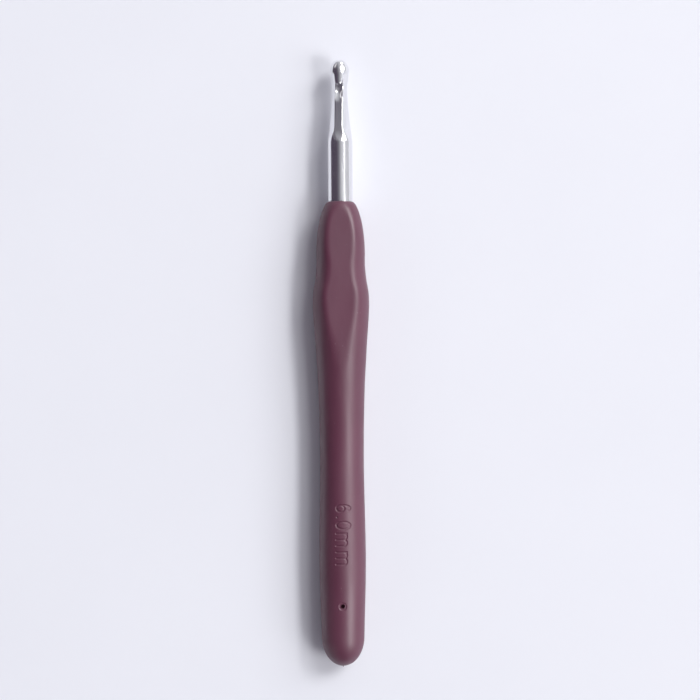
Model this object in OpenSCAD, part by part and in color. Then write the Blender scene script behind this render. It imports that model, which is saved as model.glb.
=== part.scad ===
// Crochet hook, 6 mm: a polished metal hook whose tail is held in a hard core,
// with a soft grip moulded over the core.
//
// The hook lies on its back with the thumb flat up. X runs along the hook, and
// the hook's tip points to +X. Z is up. The origin is in the middle of the
// length, on the surface that the hook lies on. Millimetres.
//
// "Stations" below are distances from the nose of the grip, where the metal
// comes out of it, measured towards the rear end.

/* [Hook] */
// Diameter of the shaft, which is the size of the hook
hook_d = 6; // [5.6:0.1:6.4]
// Metal that shows, from the nose of the grip to the tip
hook_reach = 34.1; // [32:0.1:40]
// Length of the plain shaft, which sets the size of the stitches
shaft_len = 14.4; // [10:0.1:16]
// Widest diameter of the head
head_d = 4.7; // [4.4:0.1:4.8]
// Diameter of the neck where it meets the head
neck_d = 3.6; // [3.4:0.1:3.8]
// Length of the head's blunt round end
head_end = 3.9; // [3.7:0.1:4.2]
// Distance from the tip to the neck
head_len = 7.1; // [7:0.1:7.4]
// Length over which the neck widens into the head
head_shoulder = 4; // [3.6:0.1:4.4]
// Depth of the flat front face of the neck
neck_flat_depth = 0.28; // [0.24:0.02:0.32]
// Width of that face
neck_flat_w = 1.9; // [1.7:0.1:2]
// Angle between that face and the bevel on each side of it
neck_bevel_angle = 55; // [51:1:58]
// How much the neck's sides are bowed inwards, where 0 would make it a cone
neck_bow = 0.6; // [0.3:0.1:0.7]
// Turn of the head about its own axis, to the left when looking towards the tip
head_turn = 8; // [-12:1:12]

/* [Throat] */
// Distance from the tip to the point of the lip
lip_reach = 6.1; // [6:0.1:6.2]
// Distance from the tip to the inner end of the throat
throat_reach = 3.2; // [3.1:0.1:3.3]
// Height of the throat's floor above the axis, beside the trough
throat_floor_h = 0.62; // [0.56:0.02:0.66]
// Height of the throat over that floor at its inner end
throat_gap = 0.4; // [0.36:0.02:0.44]
// Angle at which the floor falls away on each side of the lip
throat_slope = 24; // [20:1:26]
// Width of the trough that leads the yarn into the throat
trough_w = 1.3; // [1.1:0.1:1.4]
// Depth of the trough
trough_depth = 0.42; // [0.36:0.02:0.44]
// Height of the lip's underside above the axis, at the lip's point
lip_under = 1.5; // [1.45:0.05:1.55]
// Width of the lip behind its round point
lip_w = 1.8; // [1.7:0.1:1.9]

/* [Tail inside the handle] */
// Length of the tail behind the nose of the grip
tail_len = 46; // [42:1:60]
// Diameter of the tail, a little less than the shaft's
tail_d = 5.4; // [5.2:0.1:5.6]
// Distance across the two flats that stop the hook from turning
tail_flats = 4.3; // [4:0.1:4.8]
// Length of those flats
tail_flats_len = 12; // [8:1:14]
// Depth of the ring groove that stops the hook from pulling out
tail_groove_depth = 0.4; // [0.2:0.1:0.6]

/* [Handle core] */
// Diameter of the core along most of its length
core_d = 8; // [7.6:0.1:8.2]
// Diameter of the core's front end
core_front_d = 7; // [6.8:0.1:7.2]
// Distance across the two long flats that key the grip to the core
core_flats = 7.4; // [7:0.1:7.6]
// Number of ring grooves that hold the grip on
core_grooves = 5; // [2:1:7]

/* [Grip] */
// Length of the grip without the gate mark
grip_len = 111.2; // [111:0.1:114]
// Radius at the front bulge, just behind the nose
front_r = 5.82; // [5.7:0.02:5.9]
// Radius at the thumb bulge, the widest place
thumb_r = 6.77; // [6.6:0.01:6.9]
// Radius at the waist
waist_r = 5.23; // [5.15:0.01:5.3]
// Radius at the rear bulge
rear_r = 5.56; // [5.5:0.01:5.65]
// Radius where the round end starts
end_r = 5.1; // [5:0.02:5.2]
// Length of the round end
end_len = 6.7; // [5.5:0.1:7.5]

/* [Thumb flat, back flat and pin hole] */
// Height of the thumb flat above the axis, at its rear
thumb_flat_h = 5.95; // [5.85:0.01:6.05]
// Radius of the gentle crown along the thumb flat
thumb_flat_crown = 412; // [380:1:600]
// Station where the crown of the thumb flat is highest
thumb_flat_top = 42; // [40:1:46]
// Station of the pin hole
pin_hole_at = 96.3; // [94:0.1:98]
// Diameter of the pin hole, left by the pin that holds the core in the mould
pin_hole_d = 1; // [0.8:0.1:1.4]
// Diameter of the shallow dimple round the pin hole
pin_dimple_d = 1.9; // [1.7:0.1:2.4]
// Depth of that dimple
pin_dimple_depth = 0.15; // [0.1:0.05:0.3]
// Diameter of the gate mark at the rear end
gate_d = 1; // [0.8:0.1:1.4]
// Height of the gate mark
gate_h = 0.4; // [0.2:0.1:0.6]

/* [Hidden] */

$fn = 96;
crown_fn = 720;                  // facets of the very large crown cylinder
round_steps = 8;                 // facets of a small round in an outline
past = 1;                        // how far a cutter reaches past what it cuts

hook_r = hook_d / 2;
tail_r = tail_d / 2;
head_r = head_d / 2;
neck_r = neck_d / 2;
core_r = core_d / 2;
core_front_r = core_front_d / 2;

// The axis lies so high that the back flat and the rear bulge both touch down
axis_h = rear_r;
total_len = hook_reach + grip_len + gate_h;
nose_x = total_len / 2 - hook_reach;

// ---- Outlines ----

// Smooth curve through stations [x, r]: each slope is that of its neighbours
function slope(p, i) =
    let (a = p[max(i - 1, 0)], b = p[min(i + 1, len(p) - 1)])
    (b[1] - a[1]) / (b[0] - a[0]);

function curve_at(p, i, t) =
    let (d = p[i + 1][0] - p[i][0], t2 = t * t, t3 = t2 * t)
    [p[i][0] + t * d,
     (2 * t3 - 3 * t2 + 1) * p[i][1] + (t3 - 2 * t2 + t) * d * slope(p, i)
     + (3 * t2 - 2 * t3) * p[i + 1][1] + (t3 - t2) * d * slope(p, i + 1)];

function curve(p, steps) =
    [for (i = [0 : len(p) - 2], k = [0 : steps - 1]) curve_at(p, i, k / steps)];

// Arc in steps of the angle, from a0 to a1
function arc(centre, r, a0, a1, steps) =
    [for (k = [0 : steps]) let (a = a0 + (a1 - a0) * k / steps)
        centre + r * [cos(a), sin(a)]];

// Nose of the grip: it leaves the shaft steeply and turns into the front bulge
front_at = 12.5;
nose_power = 0.62;
nose_steps = 12;
nose = [for (k = [0 : nose_steps - 1]) let (u = pow(k / nose_steps, 2))
    [u * front_at, hook_r + (front_r - hook_r) * pow(1 - pow(1 - u, 2), nose_power)]];

// Body of the grip: hand-chosen stations, each a place where the curve turns
dip_r = front_r - 0.02;
body_stations = [
    [front_at, front_r],
    [14.9, dip_r],
    [18.7, dip_r + 0.35 * (thumb_r - dip_r)],
    [21.6, dip_r + 0.86 * (thumb_r - dip_r)],
    [24.6, thumb_r],
    [28.3, waist_r + 0.89 * (thumb_r - waist_r)],
    [36, waist_r + 0.53 * (thumb_r - waist_r)],
    [47.5, waist_r + 0.155 * (thumb_r - waist_r)],
    [62.9, waist_r],
    [85.9, rear_r],
    [grip_len - end_len, end_r]];
body = curve(body_stations, 4);

// Round end: a quarter of an ellipse
end_steps = 12;
round_end = [for (k = [0 : end_steps]) let (a = 90 * k / end_steps)
    [grip_len - end_len + end_len * sin(a), end_r * cos(a)]];

// Head: the neck widens over a shoulder, and the tip is a blunt round end
neck_x = hook_reach - head_len;
head_end_x = hook_reach - head_end;
head_steps = 12;
blunt = 2.4;                     // 2 would make the end an ellipse
function shoulder_r(x) = let (u = min((x - neck_x) / head_shoulder, 1))
    neck_r + (head_r - neck_r) * (1 - cos(180 * u)) / 2;
head = concat(
    [for (k = [0 : head_steps - 1]) let (x = neck_x + (head_end_x - neck_x) * k / head_steps)
        [x, shoulder_r(x)]],
    [for (k = [0 : head_steps]) let (u = sin(90 * k / head_steps), x = head_end_x + head_end * u)
        [x, shoulder_r(x) * pow(1 - pow(u, blunt), 1 / blunt)]]);

// ---- Frame ----

// Puts a shape whose X axis is the hook's axis, with 0 at the nose, into place
module place() translate([nose_x, 0, axis_h]) children();

// Turns an outline [x, r] about the X axis
module turned(points) rotate([90, 0, 90]) rotate_extrude()
    polygon([for (p = points) [p[1], p[0]]]);

// Draws an outline in X and Z and gives it a width along Y
module across(points, w) rotate([90, 0, 0]) linear_extrude(height = w, center = true)
    polygon(points);

// ---- Hook ----

// Distance of the neck's surface from the axis
function neck_r_at(x) = let (u = (x - shaft_len) / (neck_x - shaft_len))
    hook_r - (hook_r - neck_r) * (u + neck_bow * u * (1 - u));

// Front face of the neck: it leaves the shaft over a short runout, and a ramp takes it down
// to the floor of the throat. Heights above the axis.
runout = 0.8;
ramp_len = 4;
ramp_gap = 0.1;                  // from the foot of the ramp to the point of the lip
ramp_steps = 8;
lip_x = hook_reach - lip_reach;
ramp_x = lip_x - ramp_gap - ramp_len;
ramp_top = neck_r_at(ramp_x) - neck_flat_depth;
face_steps = 4;                  // stations along the neck, from the shaft to the ramp
face_x = shaft_len + runout;
function front_face(low) = concat(
    [for (k = [0 : face_steps - 1]) let (x = face_x + (ramp_x - face_x) * k / face_steps)
        [x, neck_r_at(x) - neck_flat_depth]],
    [for (k = [0 : ramp_steps]) let (u = k / ramp_steps)
        [ramp_x + u * ramp_len, ramp_top - (ramp_top - low) * (1 - cos(180 * u)) / 2]]);

// Everything that is cut away in front of a face which ends in the throat at that height
throat_end_x = hook_reach - throat_reach;
throat_end_angle = 70;           // where the round end of the throat turns into the lip's underside
function throat_profile(low) = let (r = (throat_floor_h + throat_gap - low) / 2) concat(
    [[shaft_len, hook_r]],
    front_face(low),
    arc([throat_end_x - r, low + r], r, -90, throat_end_angle, round_steps),
    [[lip_x, lip_under], [lip_x, hook_r + past], [shaft_len, hook_r + past]]);

// A bevel beside the front face, cut away. It keeps to the edge of that face, and runs out on
// the head beside the lip.
bevel_fade = 1.2;
bevel_profile = concat(
    [[shaft_len, hook_r]],
    [for (p = front_face(throat_floor_h))
        [p[0], neck_flat_w / 2 * sin(neck_bevel_angle) + p[1] * cos(neck_bevel_angle)]],
    [[lip_x + bevel_fade, head_r], [lip_x + bevel_fade, hook_r + past],
     [shaft_len, hook_r + past]]);

// Distance from the axis of the sloping floor beside the lip
side_floor = neck_flat_w / 2 * sin(throat_slope) + throat_floor_h * cos(throat_slope);

// What stays of the head, seen from the front: the lip's round point, its sides, and the
// rounds into the sides of the head
lip_round = 0.8;
lip_point_angle = 95;            // where the lip's round point turns into its side
lip_root_gap = 0.7;              // from the lip's root to the end of the throat
lip_widening = 0.1;              // how much wider the lip is at its root, on each side
root_round = 1.1;
lip_root_x = throat_end_x - lip_root_gap;
lip_edge = concat(
    arc([lip_x + lip_round, 0], lip_round, 180, lip_point_angle, round_steps),
    arc([lip_root_x, lip_w / 2 + lip_widening + root_round], root_round, -90, 0, round_steps),
    [[lip_root_x + root_round, hook_d], [hook_reach + past, hook_d]]);

module lip_zone() translate([0, 0, -hook_d]) linear_extrude(height = 2 * hook_d)
    for (side = [0, 1]) mirror([0, side, 0]) polygon(concat(lip_edge, [[hook_reach + past, 0]]));

// Everything that is cut away beside the neck's front face and beside the lip
module side_cuts() difference() {
    for (side = [-1, 1]) {
        rotate([side * neck_bevel_angle, 0, 0]) across(bevel_profile, 2 * hook_d);
        rotate([side * throat_slope, 0, 0]) translate([lip_x - ramp_gap, -hook_d, side_floor])
            cube([head_len, 2 * hook_d, hook_d]);
    }
    lip_zone();
}

// Tail: a plain rod with two flats and a ring groove, chamfered at its end. It is thinner
// than the shaft, so that the nose of the grip butts against a shoulder.
tail_chamfer = 0.5;
flats_at = 0.62 * tail_len;      // station of the middle of the flats
groove_w = 2;
groove_front = 0.85 * tail_len;  // station where the ring groove starts
groove_rear = groove_front + groove_w;

module tail_rod() turned([
    [-tail_len, 0],
    [-tail_len, tail_r - tail_chamfer],
    [-tail_len + tail_chamfer, tail_r],
    [-groove_rear - tail_groove_depth, tail_r],
    [-groove_rear, tail_r - tail_groove_depth],
    [-groove_front, tail_r - tail_groove_depth],
    [-groove_front + tail_groove_depth, tail_r],
    [0, tail_r],
    [0, 0]]);

module tail() difference() {
    tail_rod();
    for (side = [-1, 1])
        translate([-flats_at, side * (tail_flats + tail_d) / 2, 0])
            cube([tail_flats_len, tail_d, tail_d + past], center = true);
}

neck_middle = (shaft_len + neck_x) / 2;
neck = [[shaft_len, hook_r], [neck_middle, neck_r_at(neck_middle)]];

module hook_head() rotate([-head_turn, 0, 0]) difference() {
    turned(concat([[0, 0], [0, hook_r]], neck, head));
    across(throat_profile(throat_floor_h), hook_d + past);
    across(throat_profile(throat_floor_h - trough_depth), trough_w);
    side_cuts();
}

module hook() color([0.78, 0.79, 0.82]) place() {
    tail();
    hook_head();
}

// ---- Handle core ----

core_start = 3;                  // station of the core's front end
core_stop = grip_len - 7;        // station of the core's rear end
core_swell = [12, 24];           // stations between which the core grows to its full size
core_round = 2.5;                // rounding of its rear end
ring_w = 1.4;
ring_depth = 0.35;
ring_first = 30;                 // station of the first ring groove
ring_last = core_stop - 14;      // station of the last one
ring_pitch = (ring_last - ring_first) / (core_grooves - 1);

module core_outer() difference() {
    intersection() {
        turned(concat(
            [[-core_start, 0], [-core_start, core_front_r],
             [-core_swell[0], core_front_r], [-core_swell[1], core_r]],
            arc([-core_stop + core_round, core_r - core_round], core_round, 90, 180, round_steps),
            [[-core_stop, 0]]));
        cube([2 * grip_len, core_d + past, core_flats], center = true);
    }
    for (k = [0 : core_grooves - 1])
        translate([-ring_first - k * ring_pitch, 0, 0]) rotate([0, 90, 0]) difference() {
            cylinder(h = ring_w, r = core_r + past, center = true);
            cylinder(h = ring_w + past, r = core_flats / 2 - ring_depth, center = true);
        }
}

module handle_core() color([0.23, 0.16, 0.20]) place() difference() {
    core_outer();
    tail();
}

// ---- Soft grip ----

flat_room = 20;                  // how far the back flat's cutter reaches past the thumb flat

// Everything above the thumb flat, which is a very large cylinder's side
module thumb_cut() difference() {
    translate([-thumb_flat_top, -thumb_r - past, 0])
        cube([thumb_flat_top + past, 2 * (thumb_r + past), thumb_r + past]);
    translate([-thumb_flat_top, 0, thumb_flat_h - thumb_flat_crown]) rotate([90, 0, 0])
        cylinder(h = 4 * thumb_r, r = thumb_flat_crown, center = true, $fn = crown_fn);
}

// Everything behind the back flat, on which the hook rests
module back_cut() translate([-thumb_flat_top - flat_room, -thumb_r - past, -axis_h - thumb_r])
    cube([thumb_flat_top + flat_room + past, 2 * (thumb_r + past), thumb_r]);

// Hole down to the core, in a dimple. Both lie behind the last station but one.
pin_from = body_stations[len(body_stations) - 2][0];
pin_share = (pin_hole_at - pin_from) / (grip_len - end_len - pin_from);
pin_surface_r = curve_at(body_stations, len(body_stations) - 2, pin_share)[1];

module pin_hole() translate([-pin_hole_at, 0, 0]) {
    cylinder(h = rear_r + past, d = pin_hole_d);
    translate([0, 0, pin_surface_r - pin_dimple_depth]) cylinder(h = past, d = pin_dimple_d);
}

gate_base = 1;                   // how deep the gate mark is rooted in the round end

module grip_outer() turned(concat(
    [for (p = concat(nose, body, round_end)) [-p[0], p[1]]], [[0, 0]]));

// Gate mark: a cone whose point is the rearmost place of the grip
module gate_mark() translate([-grip_len - gate_h, 0, 0]) rotate([0, 90, 0])
    cylinder(h = gate_base + gate_h, d1 = 0, d2 = gate_d * (gate_base + gate_h) / gate_h);

module soft_grip() color([0.46, 0.30, 0.37]) place() {
    difference() {
        grip_outer();
        thumb_cut();
        back_cut();
        core_outer();
        tail_rod();
        pin_hole();
    }
    gate_mark();
}

hook();
handle_core();
soft_grip();
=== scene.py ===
from math import cos, pi, radians, sin

import bpy
import numpy as np
from mathutils import Matrix, Vector


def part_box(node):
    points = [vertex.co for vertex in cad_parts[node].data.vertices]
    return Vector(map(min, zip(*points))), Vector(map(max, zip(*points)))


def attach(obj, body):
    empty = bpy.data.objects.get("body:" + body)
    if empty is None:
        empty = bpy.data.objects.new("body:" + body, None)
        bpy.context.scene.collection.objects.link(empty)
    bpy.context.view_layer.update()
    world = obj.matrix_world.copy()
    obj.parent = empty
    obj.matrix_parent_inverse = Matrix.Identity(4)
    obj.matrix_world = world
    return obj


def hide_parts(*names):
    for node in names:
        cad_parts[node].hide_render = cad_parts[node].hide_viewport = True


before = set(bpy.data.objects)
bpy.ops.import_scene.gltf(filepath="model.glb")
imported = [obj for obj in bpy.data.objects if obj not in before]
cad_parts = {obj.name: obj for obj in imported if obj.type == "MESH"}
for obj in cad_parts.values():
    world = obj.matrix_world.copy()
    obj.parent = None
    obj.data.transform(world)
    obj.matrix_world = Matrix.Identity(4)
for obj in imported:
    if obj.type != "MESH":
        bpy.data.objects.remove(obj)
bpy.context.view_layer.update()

# A crochet hook that lies on its back on a pale table. Row frame: +X runs along the hook to its
# tip, +Z is up through the thumb flat. Lengths are in millimetres until a mesh is made. "x" is
# the distance from the nose of the grip towards the tip, "s" the distance from it towards the end.

MM = 0.001

hook_low, hook_high = (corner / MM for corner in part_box("hook"))
core_low, core_high = (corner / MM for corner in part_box("handle_core"))
grip_low, grip_high = (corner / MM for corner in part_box("soft_grip"))

NOSE_X = grip_high.x
AXIS_Z = (hook_low.z + hook_high.z) / 2
REACH = hook_high.x - NOSE_X          # metal that shows
TAIL = NOSE_X - hook_low.x            # metal inside the handle
SHAFT_R = (hook_high.y - hook_low.y) / 2
THUMB_R = (grip_high.y - grip_low.y) / 2
GATE_H = 0.4
GRIP_LEN = NOSE_X - grip_low.x - GATE_H


# ---------------------------------------------------------------- small helpers

def smoothstep(t):
    t = np.clip(t, 0, 1)
    return t * t * (3 - 2 * t)


def smooth_max(a, b, k):
    """The larger of a and b, with the change-over rounded over a width of k."""
    return np.maximum(a, b) + np.maximum(k - np.abs(a - b), 0) ** 2 / (4 * k)


def hermite(stations, x):
    """Smooth curve through stations [x, r]: the slope at each is that of its neighbours."""
    p = np.array(stations, float)
    slope = np.empty(len(p))
    slope[1:-1] = (p[2:, 1] - p[:-2, 1]) / (p[2:, 0] - p[:-2, 0])
    slope[0] = (p[1, 1] - p[0, 1]) / (p[1, 0] - p[0, 0])
    slope[-1] = (p[-1, 1] - p[-2, 1]) / (p[-1, 0] - p[-2, 0])
    x = np.asarray(x, float)
    i = np.clip(np.searchsorted(p[:, 0], x, side="right") - 1, 0, len(p) - 2)
    d = p[i + 1, 0] - p[i, 0]
    t = np.clip((x - p[i, 0]) / d, 0, 1)
    return ((2 * t**3 - 3 * t**2 + 1) * p[i, 1] + (t**3 - 2 * t**2 + t) * d * slope[i]
            + (3 * t**2 - 2 * t**3) * p[i + 1, 1] + (t**3 - t**2) * d * slope[i + 1])


def arc(cx, cy, rx, ry, a0, a1, steps):
    """Points on an ellipse's arc, angles in degrees."""
    return [(cx + rx * cos(radians(a)), cy + ry * sin(radians(a)))
            for a in np.linspace(a0, a1, steps + 1)]


def lines(stops):
    """Grid lines between stops (position, spacing): each spacing holds up to the next position."""
    out = [stops[0][0]]
    for (a, step), (b, _) in zip(stops[:-1], stops[1:]):
        n = max(1, round((b - a) / step))
        out += [a + (b - a) * k / n for k in range(1, n + 1)]
    return np.array(out)


def segments_distance(px, py, points):
    """Distance from each point to a polyline."""
    best = np.full(np.broadcast(px, py).shape, np.inf)
    for (ax, ay), (bx, by) in zip(points[:-1], points[1:]):
        ex, ey = bx - ax, by - ay
        t = np.clip(((px - ax) * ex + (py - ay) * ey) / (ex * ex + ey * ey + 1e-12), 0, 1)
        best = np.minimum(best, np.hypot(px - ax - t * ex, py - ay - t * ey))
    return best


def make_piece(name, co, faces, node, material, normals=None):
    """A mesh piece from row-frame millimetres that stands for one CAD node."""
    mesh = bpy.data.meshes.new(name)
    mesh.from_pydata((np.asarray(co) * MM).tolist(), [], faces)
    mesh.validate()
    mesh.polygons.foreach_set("use_smooth", [True] * len(mesh.polygons))
    mesh.materials.append(material)
    mesh.update()
    if normals is not None:
        mesh.normals_split_custom_set_from_vertices(normals.tolist())
    piece = bpy.data.objects.new(name, mesh)
    bpy.context.scene.collection.objects.link(piece)
    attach(piece, "root")
    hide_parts(node)


# ---------------------------------------------------------------- materials

class Nodes:
    """Short calls to build one material's node tree."""

    def __init__(self, name):
        self.material = bpy.data.materials.new(name)
        self.material.use_nodes = True
        self.tree = self.material.node_tree
        self.shader = self.tree.nodes["Principled BSDF"]
        self.place = self.add("ShaderNodeTexCoord").outputs["Object"]

    def add(self, kind, **values):
        node = self.tree.nodes.new(kind)
        for key, value in values.items():
            setattr(node, key, value)
        return node

    def link(self, source, target):
        self.tree.links.new(source, target)

    def mapped(self, scale, location):
        node = self.add("ShaderNodeMapping")
        node.inputs["Scale"].default_value = scale
        node.inputs["Location"].default_value = location
        self.link(self.place, node.inputs["Vector"])
        return node.outputs["Vector"]

    def noise(self, size_mm, detail=3, stretch=(1, 1, 1), shift=(0, 0, 0)):
        """Noise whose blobs are about size_mm across, drawn out along each axis by stretch."""
        node = self.add("ShaderNodeTexNoise")
        node.inputs["Scale"].default_value = 1 / (size_mm * MM)
        node.inputs["Detail"].default_value = detail
        self.link(self.mapped([1 / a for a in stretch], shift), node.inputs["Vector"])
        return node.outputs["Fac"]

    def ramp(self, value, stops):
        """Maps a value to colours or greys: stops are (position, grey or colour)."""
        node = self.add("ShaderNodeValToRGB")
        ends = node.color_ramp.elements
        while len(ends) < len(stops):
            ends.new(0.5)
        for end, (position, colour) in zip(ends, stops):
            end.position = position
            grey = isinstance(colour, (int, float))
            end.color = (colour, colour, colour, 1) if grey else (*colour, 1)
        self.link(value, node.inputs["Fac"])
        return node.outputs["Color"]

    def mix(self, share, a, b):
        """Mixes two colours. share, a and b are sockets or plain values."""
        node = self.add("ShaderNodeMix", data_type="RGBA")
        for socket, value in ((node.inputs[0], share), (node.inputs[6], a), (node.inputs[7], b)):
            if isinstance(value, bpy.types.NodeSocket):
                self.link(value, socket)
            else:
                socket.default_value = value
        return node.outputs[2]

    def math(self, operation, a, b):
        node = self.add("ShaderNodeMath", operation=operation)
        for socket, value in zip(node.inputs, (a, b)):
            if isinstance(value, bpy.types.NodeSocket):
                self.link(value, socket)
            else:
                socket.default_value = value
        return node.outputs[0]

    def bump(self, heights):
        """Chains (height, depth in mm) pairs into one normal and connects it."""
        normal = None
        for height, depth in heights:
            node = self.add("ShaderNodeBump")
            node.inputs["Strength"].default_value = 1
            node.inputs["Distance"].default_value = depth * MM
            self.link(height, node.inputs["Height"])
            if normal is not None:
                self.link(normal, node.inputs["Normal"])
            normal = node.outputs["Normal"]
        self.link(normal, self.shader.inputs["Normal"])

    def set(self, **values):
        for key, value in values.items():
            socket = self.shader.inputs[key.replace("_", " ")]
            if isinstance(value, bpy.types.NodeSocket):
                self.link(value, socket)
            else:
                socket.default_value = value


def grip_rubber():
    """Maroon elastomer: satin, faintly mottled, with a fine moulded texture and a little lint."""
    n = Nodes("grip_rubber")
    mottle = n.noise(9, 4, stretch=(2.5, 1, 1))
    base = n.ramp(mottle, [(0.3, (0.103, 0.027, 0.053)), (0.7, (0.123, 0.034, 0.064))])
    specks = n.ramp(n.noise(0.35, 2, shift=(0.3, 0.1, 0.7)), [(0.73, 0), (0.80, 1)])
    dusty = n.mix(n.math("MULTIPLY", specks, 0.35), base, (0.42, 0.33, 0.38, 1))
    n.set(Base_Color=dusty)
    rub = n.noise(4, 5, stretch=(3, 1, 1), shift=(0.5, 0, 0))
    n.set(Roughness=n.ramp(rub, [(0.3, 0.38), (0.7, 0.50)]))
    n.set(Specular_IOR_Level=0.75)
    n.bump([(n.noise(0.22, 2), 0.008), (n.noise(1.6, 3, stretch=(2, 1, 1)), 0.02)])
    return n.material


def core_plastic():
    """Dark hard plastic of the core."""
    n = Nodes("core_plastic")
    base = n.ramp(n.noise(5, 3), [(0.3, (0.048, 0.022, 0.031)), (0.7, (0.062, 0.028, 0.041))])
    n.set(Base_Color=base, Roughness=n.ramp(n.noise(2, 3), [(0.3, 0.3), (0.7, 0.42)]))
    n.bump([(n.noise(0.4, 2), 0.004)])
    return n.material


def polished_aluminium():
    """Polished metal with fine lines along the hook from drawing and buffing."""
    n = Nodes("polished_aluminium")
    n.set(Metallic=1.0)
    cloud = n.noise(3, 3, stretch=(4, 1, 1))
    n.set(Base_Color=n.ramp(cloud, [(0.3, (0.80, 0.80, 0.82)), (0.7, (0.90, 0.90, 0.915))]))
    drawn = n.noise(0.09, 3, stretch=(60, 1, 1))
    smear = n.noise(0.8, 4, stretch=(5, 1, 1), shift=(0.2, 0, 0))
    n.set(Roughness=n.ramp(n.math("MULTIPLY", drawn, smear), [(0.12, 0.10), (0.42, 0.24)]))
    n.bump([(drawn, 0.0012), (n.noise(0.28, 2), 0.003), (n.noise(0.7, 3, stretch=(3, 1, 1)), 0.005)])
    return n.material


def pale_table():
    """Plain pale table top, very slightly lavender."""
    n = Nodes("pale_table")
    n.set(Base_Color=n.ramp(n.noise(60, 4), [(0.3, (0.795, 0.805, 0.860)), (0.7, (0.810, 0.820, 0.875))]))
    n.set(Roughness=n.ramp(n.noise(20, 3), [(0.3, 0.62), (0.7, 0.70)]))
    n.bump([(n.noise(0.5, 3), 0.002)])
    return n.material


# ---------------------------------------------------------------- the metal hook

HEAD_TURN = radians(8)                # the head looks a little to the left
TURN_LEN = 12                         # the turn is complete this far from the nose
SHAFT_LEN = 14.4
HEAD_R = 2.35
NECK_R = 1.8
NECK_X = REACH - 7.1
NECK_BOW = 0.6                        # how much the neck's sides are bowed inwards
HEAD_SHOULDER = 4.0
HEAD_END = 3.9
BLUNT = 2.4
CROWN_SLOPE = 0.055                   # how fast the top of the lip falls towards its point

FLAT_DEPTH = 0.28
RIM = 0.95                            # half the width of the front face, from the neck to the throat
FLANK_ANGLE = radians(55)             # how steeply the sides fall away from that face
LEVEL_END = REACH - 10                # beyond this the face no longer follows the neck's taper
RUN_OUT = 2.6                         # closer than this to the shaft, the face rises
RUN_OUT_LEN = 2.3                     # and this much closer still, it has met the round surface
FLANK_FADE = 3.4                      # closer than this to the shaft, the flanks fade out
FLANK_FADE_LEN = 3.2
FLANK_FADE_H = 0.6
THROAT_START = REACH - 10.2
THROAT_LEN = 4.0
THROAT_FLOOR = 0.62                   # height of the floor over the axis
TROUGH_START = REACH - 10.6
TROUGH_PEAK = REACH - 8.2             # where the trough is deepest
TROUGH_FADE_LEN = 1.6
TROUGH_DEPTH = 0.3
LIP_BACK = 27.9                       # nothing of the lip is behind this
FACE_EDGE = 0.1                       # width over which the edges of that face are rounded
POLISHED_EDGE = 0.16                  # the same for the edges that polishing has worn more

TAIL_R = 2.7
TAIL_CHAMFER = 0.5
TAIL_FLAT = 2.15
TAIL_FLAT_AT = -0.62 * TAIL
TAIL_FLAT_HALF = 6
GROOVE_BACK = -41.3
GROOVE_FRONT = -38.9
GROOVE_DEPTH = 0.4
GROOVE_EDGE = 0.4


def hook_radius(x):
    """Radius of the turned shape, before flats and throat are cut and the tip is rounded."""
    t = np.clip((x - SHAFT_LEN) / (NECK_X - SHAFT_LEN), -1, 1)
    neck = SHAFT_R - (SHAFT_R - NECK_R) * smooth_max(t + NECK_BOW * t * (1 - t), 0, 0.03)
    swell = (1 - np.cos(pi * np.clip((x - NECK_X) / HEAD_SHOULDER, 0, 1))) / 2
    outer = np.where(x < NECK_X, neck, NECK_R + (HEAD_R - NECK_R) * swell)
    groove = GROOVE_DEPTH * smoothstep((x - GROOVE_BACK) / GROOVE_EDGE)
    groove = groove * smoothstep((GROOVE_FRONT - x) / GROOVE_EDGE)
    chamfer = np.clip(TAIL_CHAMFER - (x + TAIL), 0, TAIL_CHAMFER)
    return np.where(x < 0, TAIL_R - groove - chamfer, outer)


def crown_radius(x, z):
    """The same, with the top of the lip kept nearly level with the head."""
    radius = hook_radius(x)
    level = HEAD_R - CROWN_SLOPE * (NECK_X + HEAD_SHOULDER - x)
    share = smoothstep(z - 0.6) * smoothstep((x - NECK_X - 0.3) / 0.4)
    return radius + np.maximum(level - radius, 0) * share


def front_face(x):
    """Height of the front face over the axis: flat along the neck, then down into the throat."""
    level = hook_radius(np.minimum(x, LEVEL_END)) - FLAT_DEPTH
    drop = smoothstep((x - THROAT_START) / THROAT_LEN)
    run_out = FLAT_DEPTH * (np.maximum(SHAFT_LEN + RUN_OUT - x, 0) / RUN_OUT_LEN) ** 2
    return level - (level - THROAT_FLOOR) * drop + run_out


def trough_depth(x):
    """How much the front face is dished in front of the throat."""
    grows = smoothstep((x - TROUGH_START) / (TROUGH_PEAK - TROUGH_START))
    fades = smoothstep((x - TROUGH_PEAK) / TROUGH_FADE_LEN)
    return TROUGH_DEPTH * grows * (1 - 0.9 * fades)


# The lip, at each x: half its width, and the height of its underside over the axis.
LIP_PLAN = ((LIP_BACK, -0.6), (28.0, 0.0), (28.12, 0.52), (28.45, 0.80), (29.2, 0.93), (30.2, 1.0),
            (30.55, 1.16), (31.2, 1.95), (31.35, 3.2))
LIP_ROOF = ((LIP_BACK, 1.50), (29.4, 1.16), (30.2, 1.02), (30.5, 0.85), (30.75, 0.5), (30.87, 0.1),
            (30.92, -2.4), (31.0, -6))


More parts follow.
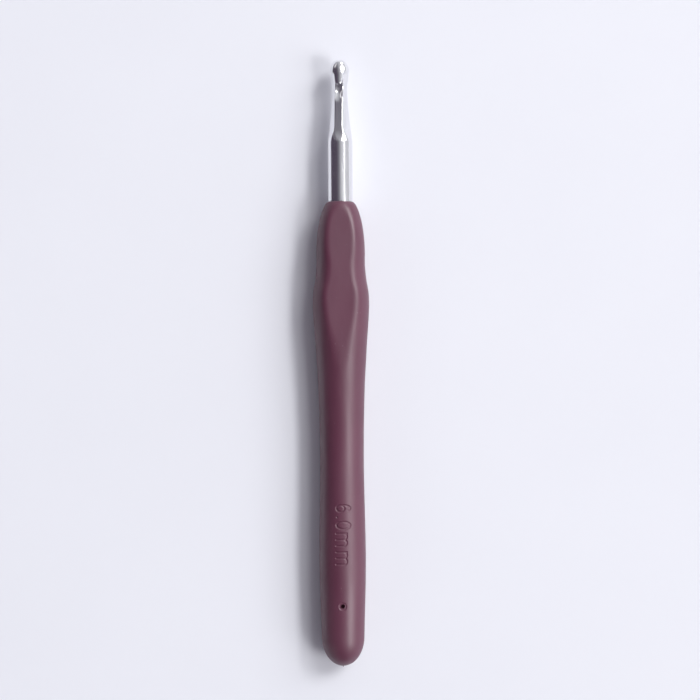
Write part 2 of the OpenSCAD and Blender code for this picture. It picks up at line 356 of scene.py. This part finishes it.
def hook_distance(x, y, z):
    """Roughly the distance to the hook's surface, negative inside. Its zero is exact."""
    rho = np.hypot(y, z)
    radius = crown_radius(x, z)
    u = np.maximum(x - (REACH - HEAD_END), 0) / HEAD_END
    tip = ((u**BLUNT + (rho / radius) ** BLUNT) ** (1 / BLUNT) - 1) * radius
    body = np.where(u > 0, tip, rho - radius)
    body = np.maximum(body, -TAIL - x)
    side = np.abs(y)
    face = z - front_face(x) + trough_depth(x) * np.clip(1 - (side / (RIM - 0.05)) ** 2, 0, 1)
    flank = (side - RIM) * sin(FLANK_ANGLE) + (z - front_face(x)) * cos(FLANK_ANGLE)
    flank = flank - FLANK_FADE_H * smoothstep((SHAFT_LEN + FLANK_FADE - x) / FLANK_FADE_LEN)
    below = smooth_max(face, flank, FACE_EDGE)
    lip_x, lip_y = np.array(LIP_PLAN).T
    roof_x, roof_z = np.array(LIP_ROOF).T
    beside = 0.75 * (side - np.interp(x, lip_x, lip_y, right=9))
    under = 0.9 * (np.interp(x, roof_x, roof_z) - z)
    lip = smooth_max(beside, np.maximum(under, LIP_BACK - x), 0.2)
    kept = -smooth_max(-below, -lip, 0.08)
    d = smooth_max(body, kept, POLISHED_EDGE)
    flats = side - np.where(np.abs(x - TAIL_FLAT_AT) < TAIL_FLAT_HALF, TAIL_FLAT, 9)
    return np.maximum(d, flats)


def surface_net(f, xs, ys, zs):
    """Mesh of the surface where the sampled values f change sign: one point per grid cell."""
    inside = f < 0
    nx, ny, nz = f.shape
    total = np.zeros((nx - 1, ny - 1, nz - 1, 3))
    count = np.zeros((nx - 1, ny - 1, nz - 1))
    axes = (xs, ys, zs)
    for axis in range(3):
        others = [a for a in range(3) if a != axis]
        low = [slice(None)] * 3
        high = [slice(None)] * 3
        low[axis], high[axis] = slice(0, -1), slice(1, None)
        f0, f1 = f[tuple(low)], f[tuple(high)]
        cut = (f0 < 0) != (f1 < 0)
        t = np.where(cut, f0 / np.where(cut, f0 - f1, 1), 0)
        grids = np.meshgrid(*[a[:-1] if k == axis else a for k, a in enumerate(axes)], indexing="ij")
        step = np.diff(axes[axis]).reshape([-1 if k == axis else 1 for k in range(3)])
        point = [g.astype(float) for g in grids]
        point[axis] = point[axis] + t * step
        for da in (0, 1):
            for db in (0, 1):
                part = [slice(None)] * 3
                part[others[0]] = slice(da, f.shape[others[0]] - 1 + da)
                part[others[1]] = slice(db, f.shape[others[1]] - 1 + db)
                mask = cut[tuple(part)]
                count += mask
                for k in range(3):
                    total[..., k] += np.where(mask, point[k][tuple(part)], 0)
    active = count > 0
    index = np.full(count.shape, -1)
    index[active] = np.arange(active.sum())
    points = total[active] / count[active][:, None]
    quads = []
    for axis in range(3):
        a, b = [k for k in range(3) if k != axis]
        span = [slice(1, -1)] * 3
        span[axis] = slice(0, -1)
        ahead = list(span)
        ahead[axis] = slice(1, None)
        before, after = inside[tuple(span)], inside[tuple(ahead)]
        where = np.argwhere(before != after)
        goes_out = before[tuple(where.T)]
        cell = where.copy()
        cell[:, a] += 1
        cell[:, b] += 1
        corners = []
        for da, db in ((0, 0), (-1, 0), (-1, -1), (0, -1)):
            c = cell.copy()
            c[:, a] += da
            c[:, b] += db
            corners.append(index[tuple(c.T)])
        quad = np.stack(corners, 1)
        flip = goes_out if axis == 1 else ~goes_out
        quad[flip] = quad[flip][:, ::-1]
        quads.append(quad)
    return points, np.concatenate(quads)


def gradient(p, step=0.004):
    out = np.empty_like(p)
    for k in range(3):
        d = np.zeros(3)
        d[k] = step
        out[:, k] = (hook_distance(*(p + d).T) - hook_distance(*(p - d).T)) / (2 * step)
    return out


def build_hook(material):
    xs = lines([(-TAIL - 0.6, 0.5), (SHAFT_LEN - 0.8, 0.1), (SHAFT_LEN + 2.2, 0.35), (NECK_X - 4, 0.075),
                (REACH + 0.3, 1)])
    ys = lines([(-SHAFT_R - 0.24, 0.08), (SHAFT_R + 0.24, 1)])
    f = hook_distance(xs[:, None, None], ys[None, :, None], ys[None, None, :])
    points, quads = surface_net(f, xs, ys, ys)
    for _ in range(4):
        slope = gradient(points)
        points -= slope * (hook_distance(*points.T) / np.maximum((slope**2).sum(1), 0.2))[:, None]
    normals = gradient(points)
    normals /= np.maximum(np.linalg.norm(normals, axis=1), 1e-9)[:, None]
    turn = HEAD_TURN * smoothstep(points[:, 0] / TURN_LEN)
    for vectors in (points, normals):
        y, z = vectors[:, 1].copy(), vectors[:, 2].copy()
        vectors[:, 1] = y * np.cos(turn) + z * np.sin(turn)
        vectors[:, 2] = z * np.cos(turn) - y * np.sin(turn)
    make_piece("metal_hook", points + (NOSE_X, 0, AXIS_Z), quads.tolist(), "hook",
               material, normals)


# ---------------------------------------------------------------- the soft grip

FRONT_AT = 12.5
FRONT_R = 5.82
DIP_R = 5.80
WAIST_R = 5.23
REAR_R = AXIS_Z
END_R = 5.1
END_LEN = 6.7
END_AT = GRIP_LEN - END_LEN
BODY = [(FRONT_AT, FRONT_R), (14.9, DIP_R),
        (18.7, DIP_R + 0.35 * (THUMB_R - DIP_R)), (21.6, DIP_R + 0.86 * (THUMB_R - DIP_R)),
        (24.6, THUMB_R), (28.3, WAIST_R + 0.89 * (THUMB_R - WAIST_R)),
        (36, WAIST_R + 0.53 * (THUMB_R - WAIST_R)), (47.5, WAIST_R + 0.155 * (THUMB_R - WAIST_R)),
        (62.9, WAIST_R), (85.9, REAR_R), (END_AT, END_R)]

THUMB_H = 5.95
THUMB_CROWN = 412
THUMB_TOP = 42
FLAT_EDGE = 0.4                       # width over which the edges of the flats are rounded
FLAT_FADE_H = 0.6                     # how much each flat rises where it runs out
THUMB_FADE = 37
THUMB_FADE_LEN = 9
BACK_FADE = 44
BACK_FADE_LEN = 10
SEAM_H = 0.022
SEAM_ANGLE = 0.016

CORE_START = NOSE_X - core_high.x
CORE_STOP = NOSE_X - core_low.x
CORE_R = (core_high.y - core_low.y) / 2
CORE_FLAT = (core_high.z - core_low.z) / 2
CORE_FRONT_R = 3.5
CORE_SWELL_AT = 12
CORE_SWELL_LEN = 12
CORE_ROUND = 2.5                      # radius of its rear edge

PIN_AT = 96.3
PIN_R = 0.5
DIMPLE_R = 0.95
DIMPLE_DEPTH = 0.15
PIN_ZONE = 1.4                        # half the side of the finely meshed square round the hole
PIN_CELLS = 28
PIN_UNROLL = 5.4                      # radius at which that square is unrolled

SIZE_DEPTH = 0.15
SIZE_STROKE = 0.2                     # half the width of a stroke
SIZE_AT = 72.1
SIZE_BASE = -1.58
NUMERAL_H = 3.68
LETTER_H = 2.83


def grip_profile(s):
    """Radius of the grip before the flats are taken off."""
    u = np.clip(s / FRONT_AT, 0, 1)
    nose = SHAFT_R + (FRONT_R - SHAFT_R) * np.maximum(1 - (1 - u) ** 2, 0) ** 0.62
    body = hermite(BODY, s)
    slope = (END_R - REAR_R) / (END_AT - BODY[-2][0])
    v = np.clip((s - END_AT) / END_LEN, 0, 1)
    end = (END_R + slope * END_LEN * v * (1 - v)) * np.sqrt(1 - v * v)
    gate = 0.52 * np.clip((GRIP_LEN + GATE_H - s) / (GATE_H + 0.35), 0, 1) ** 1.25
    end = np.where(s > GRIP_LEN - 0.35, smooth_max(end, gate, 0.12) - 0.03 * v, end)
    return np.where(s < FRONT_AT, nose, np.where(s < END_AT, body, end))


def cut_flat(radius, cosine, height, edge):
    """Radius in a direction after a flat at that height is taken off, with a rounded edge."""
    r = np.minimum(radius, height / np.maximum(cosine, 1e-3))
    for _ in range(6):
        a, b = r - radius, r * cosine - height
        value = smooth_max(a, b, edge)
        step = 0.5 * (1 + cosine) + (a - b) * (1 - cosine) / (2 * edge)
        rate = np.where(np.abs(a - b) < edge, step, np.where(a > b, 1, cosine))
        r = r - value / np.maximum(rate, 0.15)
    return r


def grip_surface(s, angle):
    """Radius of the grip's outer surface. angle runs from the top to the right, seen from above."""
    radius = grip_profile(s)
    top = THUMB_H - np.maximum(THUMB_TOP - s, 0) ** 2 / (2 * THUMB_CROWN)
    top = top + FLAT_FADE_H * smoothstep((s - THUMB_FADE) / THUMB_FADE_LEN)
    bottom = AXIS_Z + FLAT_FADE_H * smoothstep((s - BACK_FADE) / BACK_FADE_LEN)
    radius = cut_flat(radius, np.cos(angle), top, FLAT_EDGE)
    return cut_flat(radius, -np.cos(angle), bottom, FLAT_EDGE)


def core_surface(s, angle):
    """Radius of the cavity that the core fills."""
    swell = CORE_FRONT_R + (CORE_R - CORE_FRONT_R) * np.clip((s - CORE_SWELL_AT) / CORE_SWELL_LEN, 0, 1)
    back = np.clip((s - (CORE_STOP - CORE_ROUND)) / CORE_ROUND, 0, 1)
    end = CORE_R - CORE_ROUND + CORE_ROUND * np.sqrt(1 - back**2)
    r = np.where(s > CORE_STOP - CORE_ROUND, end, swell)
    return np.minimum(r, CORE_FLAT / np.maximum(np.abs(np.cos(angle)), 1e-3))


def glyph_strokes():
    """The size number as plain strokes, in mm: x along the line of text, y up."""
    half = SIZE_STROKE
    top, low = NUMERAL_H - half, half
    six_w = 1.9 / 2 - half
    bowl_y = 0.31 * NUMERAL_H
    six = [arc(0.95, NUMERAL_H / 2, six_w, top - NUMERAL_H / 2, 48, 180, 12)
           + [(0.95 - six_w, bowl_y)],
           arc(0.95, bowl_y, six_w, bowl_y - low, 0, 360, 28)]
    dot = [[(3.05, 0.32), (3.06, 0.32)]]
    nought = [arc(4.95, NUMERAL_H / 2, 2.1 / 2 - half, top - NUMERAL_H / 2, 0, 360, 32)]
    strokes = six + dot + nought
    for left in (6.7, 11.1):
        stem = [left + half + k * 1.45 for k in range(3)]
        rise = LETTER_H - half
        strokes.append([(stem[0], low - 0.1), (stem[0], rise)])
        for a, b in zip(stem[:-1], stem[1:]):
            strokes.append(arc((a + b) / 2, rise - 0.72, 1.45 / 2, 0.72, 180, 0, 10) + [(b, low - 0.1)])
    return strokes


def size_number_depth(s, lateral):
    """How deep the size number is pressed in at each point."""
    distance = np.full(s.shape, 9.0)
    near = (s > SIZE_AT - 1) & (s < SIZE_AT + 16) & (np.abs(lateral) < 3)
    px, py = s[near] - SIZE_AT, lateral[near] - SIZE_BASE
    best = np.full(px.shape, 9.0)
    for stroke in glyph_strokes():
        best = np.minimum(best, segments_distance(px, py, stroke))
    distance[near] = best
    return SIZE_DEPTH * smoothstep((SIZE_STROKE + 0.05 - distance) / 0.1)


def dimple_depth(distance):
    """How deep the dimple is at a distance from the axis of the pin hole."""
    return DIMPLE_DEPTH * smoothstep((DIMPLE_R + 0.06 - distance) / 0.16)


def build_grip(material):
    pin_step = 2 * PIN_ZONE / PIN_CELLS
    fine = 0.09
    s_outer = np.concatenate([
        FRONT_AT * np.linspace(0, 1, 34)[:-1] ** 2,
        lines([(FRONT_AT, 0.4), (SIZE_AT - 0.6, fine), (SIZE_AT + 15, 0.4), (PIN_AT - PIN_ZONE, pin_step),
               (PIN_AT + PIN_ZONE, 0.4), (END_AT, 0.4)]),
        END_AT + END_LEN * np.sin(np.linspace(0, pi / 2, 26))[1:-2],
        lines([(GRIP_LEN - 0.08, 0.03), (GRIP_LEN + GATE_H, 0.1)])])
    s_outer = np.unique(np.round(s_outer, 6))
    half_fine = radians(26)
    side = radians(90)
    coarse = radians(3.4)
    a_half = lines([(0, pin_step / PIN_UNROLL), (half_fine, coarse), (side - 0.04, 0.016),
                    (side + 0.04, coarse), (pi, 1)])
    angles = np.concatenate([-a_half[::-1][:-1], a_half])[1:]
    # the cavity runs back from the nose: the bore round the tail, then the core's front and sides
    s_inner = np.concatenate([
        lines([(0.3, 0.9), (CORE_START, 1)]),
        lines([(CORE_START + 0.001, 3), (PIN_AT - PIN_ZONE, pin_step), (PIN_AT + PIN_ZONE, 1),
               (CORE_STOP - CORE_ROUND, 1)]),
        CORE_STOP - CORE_ROUND + CORE_ROUND * np.sin(np.linspace(0, pi / 2, 10))[1:]])
    in_bore = s_inner <= CORE_START

    S, A = np.meshgrid(s_outer, angles, indexing="ij")
    R = grip_surface(S, A)
    lateral = R * np.sin(A)
    top_side = np.cos(A) > 0
    R = R - np.where(top_side, size_number_depth(S, lateral), 0)
    R = R - np.where(top_side, dimple_depth(np.hypot(S - PIN_AT, lateral)), 0)
    seam = np.exp(-((np.abs(A) - side) / SEAM_ANGLE) ** 2)
    seam = seam * smoothstep((GRIP_LEN - S) / 4) * smoothstep(S / 4)
    R = R + SEAM_H * seam
    Si, Ai = np.meshgrid(s_inner, angles, indexing="ij")
    Ri = np.where(in_bore[:, None], TAIL_R, core_surface(Si, Ai))

    # one grid from the rear pole over the outside, into the nose and along the cavity
    order = slice(None, None, -1)
    S_all = np.concatenate([S[order], Si])
    R_all = np.concatenate([R[order], Ri])
    A_all = np.concatenate([A[order], Ai])
    rows, columns = S_all.shape

    def place(s, r, a):
        return np.stack([NOSE_X - s, -r * np.sin(a), AXIS_Z + r * np.cos(a)], -1)

    co = place(S_all, R_all, A_all).reshape(-1, 3)
    keep = np.ones((rows - 1, columns), bool)

    def zone(row_positions):
        """Grid rows and columns of the square round the pin hole."""
        i = np.where(np.abs(row_positions - PIN_AT) < PIN_ZONE + 1e-4)[0]
        j = np.where(np.abs(angles) < PIN_CELLS / 2 * pin_step / PIN_UNROLL + 1e-6)[0]
        return i, j

    outer_rows, cols = zone(s_outer)
    outer_rows = len(s_outer) - 1 - outer_rows[::-1]
    inner_rows, _ = zone(s_inner)
    inner_rows = inner_rows + len(s_outer)
    extra, faces = [], []
    count = [len(co)]

    def add_ring(points):
        start = count[0]
        extra.append(points)
        count[0] += len(points)
        return list(range(start, start + len(points)))

    def strip(a, b, flip):
        n = len(a)
        for k in range(n):
            quad = [a[k], a[(k + 1) % n], b[(k + 1) % n], b[k]]
            faces.append(quad[::-1] if flip else quad)

    def border(rows_, cols_):
        """Grid row and column of each vertex round the square, in order."""
        r0, r1, c0, c1 = rows_[0], rows_[-1], cols_[0], cols_[-1]
        path = [(r0, c) for c in range(c0, c1)] + [(r, c1) for r in range(r0, r1)]
        path += [(r1, c) for c in range(c1, c0, -1)] + [(r, c0) for r in range(r1, r0, -1)]
        return path

    mouth = []
    for which, rows_ in (("outer", outer_rows), ("inner", inner_rows)):
        keep[rows_[0]:rows_[-1], cols[0]:cols[-1]] = False
        path = border(rows_, cols)
        ids = [r * columns + c for r, c in path]
        s_edge = np.array([S_all[r, c] for r, c in path]) - PIN_AT
        y_edge = np.array([A_all[r, c] for r, c in path]) * PIN_UNROLL
        turn = np.arctan2(y_edge, s_edge)
        rings = [ids]
        rim = PIN_R + (0.06 if which == "outer" else 0)
        for share in np.linspace(0, 1, 15)[1:]:
            s_ring = PIN_AT + s_edge * (1 - share) + rim * np.cos(turn) * share
            l_ring = y_edge * (1 - share) + rim * np.sin(turn) * share
            angle = np.arcsin(np.clip(l_ring / PIN_UNROLL, -1, 1))
            if which == "outer":
                r_ring = grip_surface(s_ring, angle)
                r_ring = r_ring - dimple_depth(np.hypot(s_ring - PIN_AT, r_ring * np.sin(angle)))
            else:
                r_ring = core_surface(s_ring, angle)
            rings.append(add_ring(place(s_ring, r_ring, angle)))
        for a, b in zip(rings[:-1], rings[1:]):
            strip(a, b, which == "inner")
        mouth.append((rings[-1], turn))
    # the wall of the hole, from the rounded mouth down to the core
    (outer_ring, turn), (inner_ring, turn_in) = mouth
    shift = int(np.argmin(np.abs(np.angle(np.exp(1j * (turn_in - turn[0]))))))
    step = 1 if np.angle(np.exp(1j * (turn_in[(shift + 1) % len(turn_in)] - turn[1]))) ** 2 < 0.1 else -1
    inner_ring = [inner_ring[(shift + step * k) % len(inner_ring)] for k in range(len(inner_ring))]
    top_z = float(grip_surface(np.array([PIN_AT]), np.array([0.0]))[0]) - DIMPLE_DEPTH
    wall = [outer_ring]
    for depth, widen in ((0.02, 0.028), (0.06, 0.008), (0.12, 0), (0.6, 0), (1.1, 0)):
        r = PIN_R + widen
        ring = np.stack([NOSE_X - PIN_AT - r * np.cos(turn), -r * np.sin(turn),
                         np.full(len(turn), AXIS_Z + top_z - depth)], -1)
        wall.append(add_ring(ring))
    wall.append(inner_ring)
    for a, b in zip(wall[:-1], wall[1:]):
        strip(a, b, False)

    i, j = np.nonzero(keep)
    j2 = (j + 1) % columns
    grid = np.stack([i * columns + j, i * columns + j2,
                     (i + 1) * columns + j2, (i + 1) * columns + j], 1)
    # the first and last rows are poles: each gets one point
    poles = [0, rows - 1]
    co = np.concatenate([co] + extra)
    for pole in poles:
        grid[np.isin(grid, np.arange(pole * columns, (pole + 1) * columns))] = pole * columns
    quads = [list(dict.fromkeys(q)) for q in grid.tolist()] + faces
    used = np.zeros(len(co), bool)
    for q in quads:
        used[q] = True
    renumber = np.cumsum(used) - 1
    quads = [[int(renumber[v]) for v in q] for q in quads if len(q) > 2]
    make_piece("soft_grip_skin", co[used], quads, "soft_grip", material)


build_hook(polished_aluminium())
build_grip(grip_rubber())
core_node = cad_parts["handle_core"]
core_node.data.materials.clear()
core_node.data.materials.append(core_plastic())


# ---------------------------------------------------------------- table, light and camera

def build_table():
    mesh = bpy.data.meshes.new("table_top")
    half = 4.0
    mesh.from_pydata([(-half, -half, 0), (half, -half, 0), (half, half, 0), (-half, half, 0)], [],
                     [(0, 1, 2, 3)])
    mesh.materials.append(pale_table())
    table = bpy.data.objects.new("table_top", mesh)
    bpy.context.scene.collection.objects.link(table)


PANEL_DISTANCE = 3.0
# Soft light panels: elevation in degrees over the right side (beyond 90 on the left), start and
# end along the hook, width and brightness. A faint strip joins the two halves of the key light.
PANELS = (("key_rear", 53, -1.5, -0.3, 0.45, 14.6), ("key_front", 53, 0.9, 2.2, 0.45, 18.5),
          ("key_join", 49, -0.1, 0.8, 0.10, 4.5), ("window_rear", 37.5, -1.5, -0.3, 1.1, 3.6),
          ("window_front", 37.5, 0.9, 2.2, 1.1, 3.4), ("window_far", 37.5, 4.0, 8.0, 1.1, 5.0),
          ("upper_front", 66, 0.9, 2.2, 0.7, 7.6), ("fill_rear", 150, -4.0, -1.2, 1.3, 0.8),
          ("fill_front", 150, 1.6, 5.0, 1.3, 0.7))


def light_panel(name, elevation, start, end, width, brightness):
    light = bpy.data.lights.new(name, "AREA")
    light.shape = "RECTANGLE"
    light.size, light.size_y = end - start, width
    light.energy = pi * brightness * light.size * light.size_y
    lamp = bpy.data.objects.new(name, light)
    bpy.context.scene.collection.objects.link(lamp)
    e = radians(elevation)
    away = Vector((0, -cos(e), sin(e)))
    along = Vector((1, 0, 0))
    turn = Matrix((along, away.cross(along), away)).transposed()
    place = away * PANEL_DISTANCE + along * (start + end) / 2
    lamp.matrix_world = Matrix.Translation(place) @ turn.to_4x4()
    lamp.visible_camera = False


def build_studio():
    """A dim room that is darker on the left and lighter on the right, and the light panels."""
    world = bpy.data.worlds.new("studio")
    bpy.context.scene.world = world
    world.use_nodes = True
    tree = world.node_tree
    background = tree.nodes["Background"]
    place = tree.nodes.new("ShaderNodeTexCoord")
    toward = tree.nodes.new("ShaderNodeVectorMath")
    toward.operation = "DOT_PRODUCT"
    toward.inputs[1].default_value = (0.42, -0.91, 0)
    spread = tree.nodes.new("ShaderNodeMapRange")
    ramp = tree.nodes.new("ShaderNodeValToRGB")
    tree.links.new(place.outputs["Generated"], toward.inputs[0])
    tree.links.new(toward.outputs["Value"], spread.inputs["Value"])
    spread.inputs["From Min"].default_value = -1
    spread.inputs["From Max"].default_value = 1
    tree.links.new(spread.outputs["Result"], ramp.inputs["Fac"])
    stops = [(0.0, (0.079, 0.063, 0.090)), (0.30, (0.084, 0.068, 0.096)), (0.46, (0.20, 0.19, 0.22)),
             (0.56, (0.42, 0.42, 0.45)), (0.80, (0.66, 0.66, 0.70)), (1.0, (0.60, 0.60, 0.64))]
    ends = ramp.color_ramp.elements
    while len(ends) < len(stops):
        ends.new(0.5)
    for end, (position, colour) in zip(ends, stops):
        end.position = position
        end.color = (*colour, 1)
    sees = tree.nodes.new("ShaderNodeLightPath")
    pale = tree.nodes.new("ShaderNodeMix")
    pale.data_type = "RGBA"
    tree.links.new(sees.outputs["Is Camera Ray"], pale.inputs[0])
    tree.links.new(ramp.outputs["Color"], pale.inputs[6])
    pale.inputs[7].default_value = (0.84, 0.84, 0.92, 1)
    tree.links.new(pale.outputs[2], background.inputs["Color"])
    background.inputs["Strength"].default_value = 1.0
    for panel in PANELS:
        light_panel(*panel)


def build_camera():
    """Straight above, with the tip at the top of the picture, as wide as the picture shows."""
    lens = 85
    sensor = 36
    width = 1.1531 * (hook_high.x - grip_low.x)
    shift = Vector((3.24, -2.10, 0))
    lean = radians(0.386)
    data = bpy.data.cameras.new("camera")
    data.lens = lens
    data.sensor_width = sensor
    camera = bpy.data.objects.new("camera", data)
    bpy.context.scene.collection.objects.link(camera)
    up = Vector((cos(lean), -sin(lean), 0))
    right = Vector((-sin(lean), -cos(lean), 0))
    turn = Matrix((right, up, Vector((0, 0, 1)))).transposed()
    middle = Vector(((hook_high.x + grip_low.x) / 2, 0, AXIS_Z)) + shift
    height = width * lens / sensor
    camera.matrix_world = Matrix.Translation((middle + Vector((0, 0, height))) * MM) @ turn.to_4x4()
    bpy.context.scene.camera = camera


build_table()
build_studio()
build_camera()
bpy.context.scene.view_settings.view_transform = "Standard"
